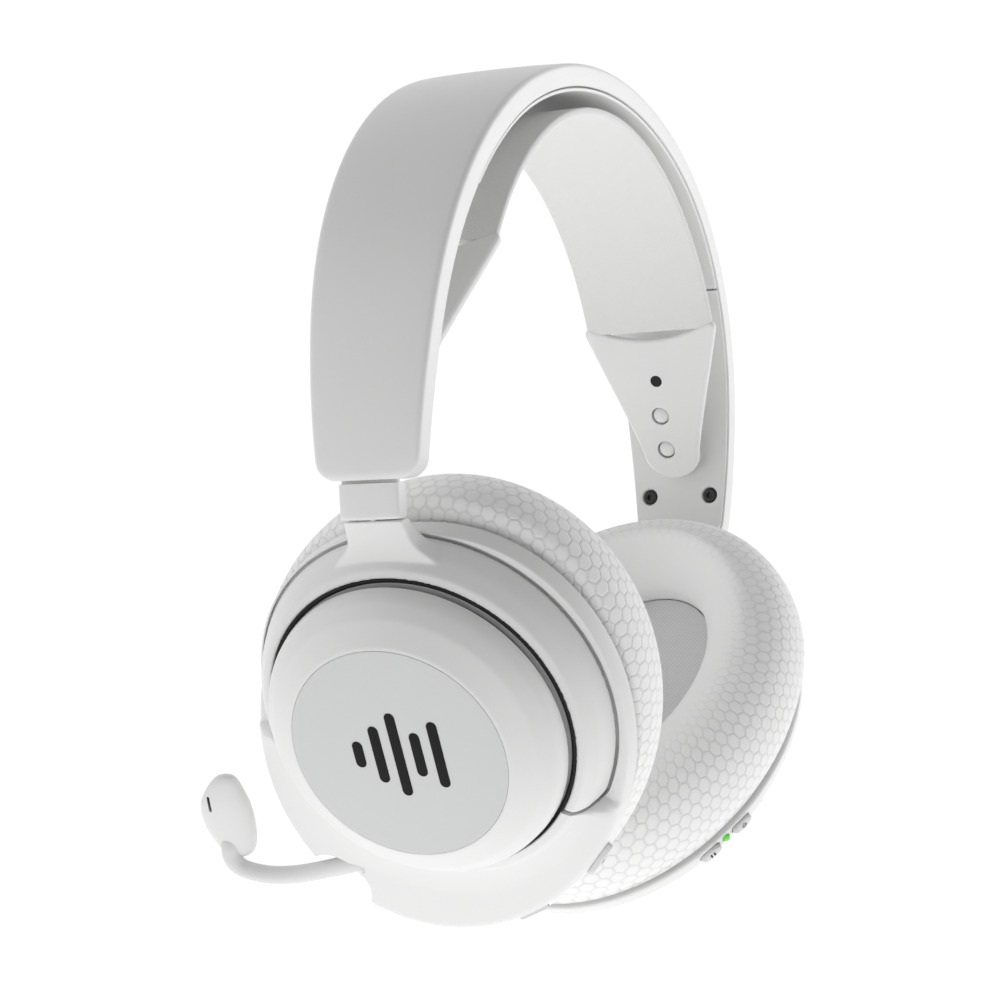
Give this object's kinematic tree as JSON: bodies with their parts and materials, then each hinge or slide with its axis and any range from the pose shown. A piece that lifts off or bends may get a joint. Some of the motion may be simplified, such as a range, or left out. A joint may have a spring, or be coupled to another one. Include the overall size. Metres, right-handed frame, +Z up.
{
  "type": "gaming headset",
  "caption": "Over-ear wireless gaming headset: sprung arched headband with a hung strap, sliding arms, swivelling half-ring yokes, tilting oval cups and a boom microphone.",
  "frame": {"origin": "middle of the strap's underside, where the head or a stand's rest meets it", "axes": "+X to the wearer's left, -Y to the front, +Z up through the headband's crown"},
  "size_m": [0.1772, 0.1096, 0.19],
  "materials": {
    "satin_white": "satin moulded plastic",
    "pale_grey": "satin moulded plastic",
    "matte_grey": "fine matte texture",
    "black_plastic": "matte",
    "steel": "brushed",
    "black_steel": "black oxide",
    "mesh_fabric": "knitted hexagon mesh",
    "strap_weave": "woven elastic",
    "grey_cloth": "acoustic cloth",
    "soft_white": "matte silicone",
    "board_green": "solder mask",
    "cell_wrap": "shrink wrap",
    "green_light": "clear light guide"
  },
  "bodies": {
    "headband": {"anchor_block_left": "satin_white", "anchor_block_right": "satin_white", "arm_cover_left": "satin_white", "arm_cover_right": "satin_white", "arm_screw_front_left": "black_steel", "arm_screw_front_right": "black_steel", "arm_screw_rear_left": "black_steel", "arm_screw_rear_right": "black_steel", "headband_cover": "satin_white", "headband_liner": "pale_grey", "headband_spring": "steel", "strap": "strap_weave", "strap_peg_lower_left": "pale_grey", "strap_peg_lower_right": "pale_grey", "strap_peg_upper_left": "pale_grey", "strap_peg_upper_right": "pale_grey", "strap_tab_left": "satin_white", "strap_tab_right": "satin_white"},
    "slider_left": {"slider_left": "satin_white"},
    "slider_right": {"slider_right": "satin_white"},
    "yoke_left": {"yoke_left": "satin_white", "swivel_pin_left": "steel", "pivot_pin_front_left": "steel", "pivot_pin_rear_left": "steel"},
    "yoke_right": {"yoke_right": "satin_white", "swivel_pin_right": "steel", "pivot_pin_front_right": "steel", "pivot_pin_rear_right": "steel"},
    "cup_left": {"cup_housing_left": "satin_white", "baffle_left": "black_plastic", "speaker_plate_left": "satin_white", "plate_disc_left": "matte_grey", "driver_left": "black_plastic", "driver_cloth_left": "grey_cloth", "ear_cushion_left": "mesh_fabric", "mic_gland": "soft_white", "usb_port": "steel", "circuit_board": "board_green"},
    "cup_right": {"cup_housing_right": "satin_white", "baffle_right": "black_plastic", "speaker_plate_right": "satin_white", "plate_disc_right": "matte_grey", "driver_right": "black_plastic", "driver_cloth_right": "grey_cloth", "ear_cushion_right": "mesh_fabric", "battery": "cell_wrap", "status_led": "green_light"},
    "microphone": {"mic_boom": "soft_white", "mic_capsule": "satin_white"},
    "mute_key": {"mute_button": "pale_grey"},
    "power_key": {"power_button": "pale_grey"},
    "link_key": {"link_button": "pale_grey"}
  },
  "joints": [
    {"name": "slider_left_slide", "type": "slide", "parent": "headband", "child": "slider_left", "axis": [0.0296, 0, -0.9996], "range_m": [0, 0.02]},
    {"name": "yoke_left_swivel", "type": "hinge", "parent": "slider_left", "child": "yoke_left", "pos_m": [0.08407, 0, -0.09606], "axis": [0.1695, 0, 0.9855], "range_deg": [-90, 8]},
    {"name": "cup_left_tilt", "type": "hinge", "parent": "yoke_left", "child": "cup_left", "pos_m": [0.05531, -0.00155, -0.13928], "axis": [0.1154, -0.9744, 0.1928], "range_deg": [0, 8]},
    {"name": "slider_right_slide", "type": "slide", "parent": "headband", "child": "slider_right", "axis": [-0.0296, 0, -0.9996], "range_m": [0, 0.02]},
    {"name": "yoke_right_swivel", "type": "hinge", "parent": "slider_right", "child": "yoke_right", "pos_m": [-0.08407, 0, -0.09606], "axis": [0.1695, 0, -0.9855], "range_deg": [-90, 8]},
    {"name": "cup_right_tilt", "type": "hinge", "parent": "yoke_right", "child": "cup_right", "pos_m": [-0.05531, -0.00155, -0.13928], "axis": [0.1154, 0.9744, -0.1928], "range_deg": [0, 8]},
    {"name": "mic_slide", "type": "slide", "parent": "cup_left", "child": "microphone", "axis": [-0.126, -0.9695, -0.2105], "range_m": [-0.009, 0]},
    {"name": "mute_press", "type": "slide", "parent": "cup_left", "child": "mute_key", "axis": [0.335, -0.7579, 0.5598], "range_m": [0, 0.0008], "stiffness_N_per_m": 500},
    {"name": "power_press", "type": "slide", "parent": "cup_right", "child": "power_key", "axis": [-0.2778, -0.8411, 0.4641], "range_m": [0, 0.0008], "stiffness_N_per_m": 500},
    {"name": "link_press", "type": "slide", "parent": "cup_right", "child": "link_key", "axis": [-0.3462, -0.7386, 0.5785], "range_m": [0, 0.0008], "stiffness_N_per_m": 500}
  ]
}
